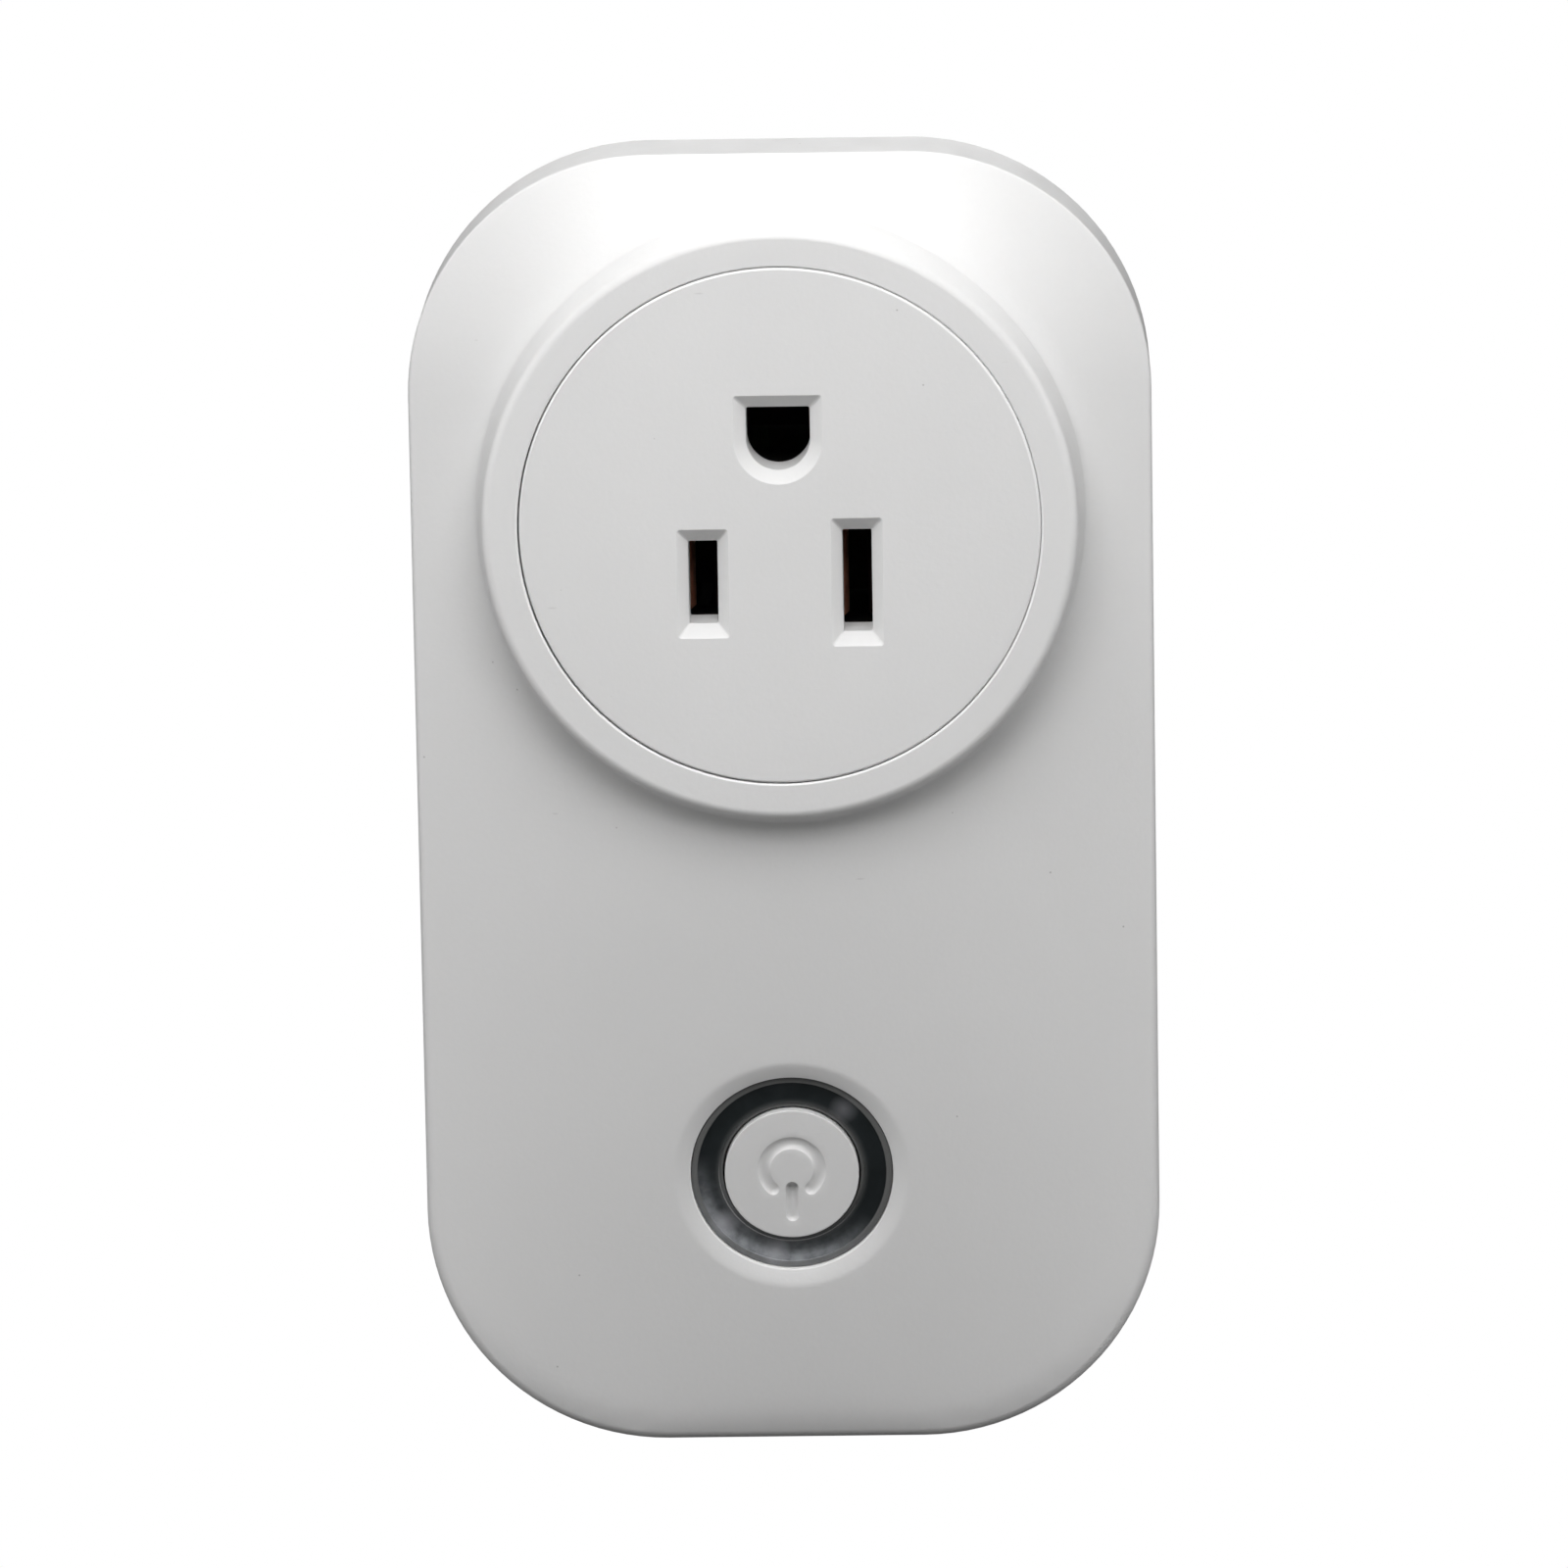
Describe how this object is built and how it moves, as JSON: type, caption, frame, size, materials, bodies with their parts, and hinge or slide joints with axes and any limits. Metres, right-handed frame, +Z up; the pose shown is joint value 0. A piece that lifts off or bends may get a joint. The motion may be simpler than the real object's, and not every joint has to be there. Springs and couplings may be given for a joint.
{
  "type": "smart plug",
  "caption": "White plug-in smart switch: round three-pin socket on a raised boss, glowing ring button below, three blades behind.",
  "frame": {"origin": "on the flat rear face that lies against the wall, midway between the two flat blades", "axes": "+X to the right seen from the socket side, +Y along the blades into the wall (the socket and button face -Y), +Z up towards the ground pin"},
  "size_m": [0.0616, 0.0528, 0.1094],
  "materials": {
    "white_abs": "fine satin moulded white ABS",
    "smoked_lens": "glossy smoked polycarbonate",
    "insulator_nylon": "natural nylon, satin",
    "phosphor_bronze": "bare rolled bronze strip, slightly dull",
    "plated_brass": "bright rolled brass",
    "board_laminate": "very dark green solder mask over glass laminate",
    "module_laminate": "blue solder mask",
    "tinned_steel": "thin tinned steel can",
    "zinc_steel": "zinc plated",
    "silver_alloy": "polished silver alloy contact",
    "black_thermoplastic": "satin black moulding",
    "plunger_acetal": "satin acetal",
    "relay_blue": "glossy blue moulding",
    "enamelled_wire": "enamelled copper winding",
    "wire_pvc": "black PVC insulation",
    "ferrite": "sintered ferrite",
    "winding_tape": "yellow polyester tape",
    "film_yellow": "yellow boxed film capacitor",
    "varistor_epoxy": "dipped blue epoxy",
    "fuse_ceramic": "white ceramic tube with metal end caps",
    "can_sleeve": "black sleeve",
    "led_lens": "clear lens over a phosphor"
  },
  "bodies": {
    "housing": {"blade_holder": "insulator_nylon", "board_screw_lower": "zinc_steel", "board_screw_upper": "zinc_steel", "bridge_rectifier": "black_thermoplastic", "bulk_capacitor_left": "can_sleeve", "bulk_capacitor_right": "can_sleeve", "case_screw_lower_left": "zinc_steel", "case_screw_lower_right": "zinc_steel", "case_screw_upper_left": "zinc_steel", "case_screw_upper_right": "zinc_steel", "control_board": "board_laminate", "control_screw_left": "zinc_steel", "control_screw_right": "zinc_steel", "front_cover": "white_abs", "fuse": "fuse_ceramic", "ground_contact": "phosphor_bronze", "ground_pin": "plated_brass", "hot_blade": "plated_brass", "hot_contact": "phosphor_bronze", "inductor": "ferrite", "led_bottom": "led_lens", "led_lower": "led_lens", "led_upper": "led_lens", "light_ring": "smoked_lens", "load_wire": "wire_pvc", "neutral_blade": "plated_brass", "neutral_contact": "phosphor_bronze", "pin_header": "black_thermoplastic", "power_board": "board_laminate", "rear_cover": "white_abs", "regulator": "black_thermoplastic", "relay_base": "black_thermoplastic", "relay_bobbin": "insulator_nylon", "relay_case": "relay_blue", "relay_coil": "enamelled_wire", "relay_core": "zinc_steel", "relay_fixed_contact": "silver_alloy", "relay_fixed_terminal": "plated_brass", "relay_yoke": "zinc_steel", "socket_carrier": "insulator_nylon", "socket_face": "white_abs", "socket_screw_left": "zinc_steel", "socket_screw_right": "zinc_steel", "tact_switch_body": "black_thermoplastic", "transformer_core": "ferrite", "transformer_winding": "winding_tape", "varistor": "varistor_epoxy", "wifi_board": "module_laminate", "wifi_shield": "tinned_steel", "x_capacitor": "film_yellow"},
    "button": {"button_cap": "white_abs"},
    "switch_plunger": {"tact_switch_plunger": "plunger_acetal"},
    "armature": {"relay_armature": "zinc_steel", "relay_contact_spring": "phosphor_bronze", "relay_moving_contact": "silver_alloy"}
  },
  "joints": [
    {"name": "button_press", "type": "slide", "parent": "housing", "child": "button", "axis": [0, 0.9945, 0.1044], "range_m": [0, 0.00045], "stiffness_N_per_m": 60},
    {"name": "switch_press", "type": "slide", "parent": "housing", "child": "switch_plunger", "axis": [0, 0.9945, 0.1044], "range_m": [0, 0.00045]},
    {"name": "relay_pull_in", "type": "hinge", "parent": "housing", "child": "armature", "pos_m": [-0.01985, -0.0179, -0.0295], "axis": [0, 0, 1], "range_deg": [0, 4], "stiffness_Nm_per_rad": 0.001}
  ],
  "couplings": [
    {"joint": "switch_press", "follows": "button_press", "ratio": 1}
  ]
}
